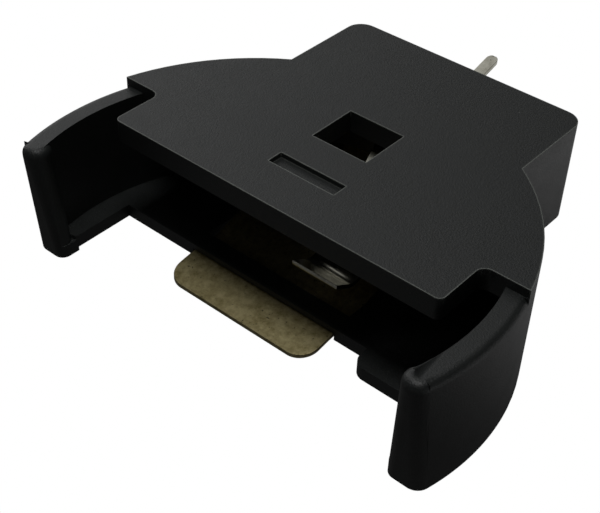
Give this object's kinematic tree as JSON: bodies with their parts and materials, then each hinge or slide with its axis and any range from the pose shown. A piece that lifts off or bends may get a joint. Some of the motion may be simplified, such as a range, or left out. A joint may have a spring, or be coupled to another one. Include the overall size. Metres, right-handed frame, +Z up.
{
  "type": "coin cell holder",
  "caption": "Moulded holder for a flat round cell: slotted black housing with two arms, a broad tongue contact, a finger contact and solder pins.",
  "frame": {"origin": "bottom centre of the whole holder, which lies on its broad underside", "axes": "+X across the holder, +Y from the open mouth towards the solder pins and the board, +Z up from the underside to the cover"},
  "size_m": [0.0222, 0.0205, 0.0062],
  "materials": {
    "black_plastic": "fine moulded satin",
    "leaf_metal": "dull plating with small dark specks",
    "finger_metal": "bright plating"
  },
  "bodies": {
    "root": {"housing": "black_plastic", "leaf_contact": "leaf_metal", "finger_contact": "finger_metal"}
  },
  "joints": []
}
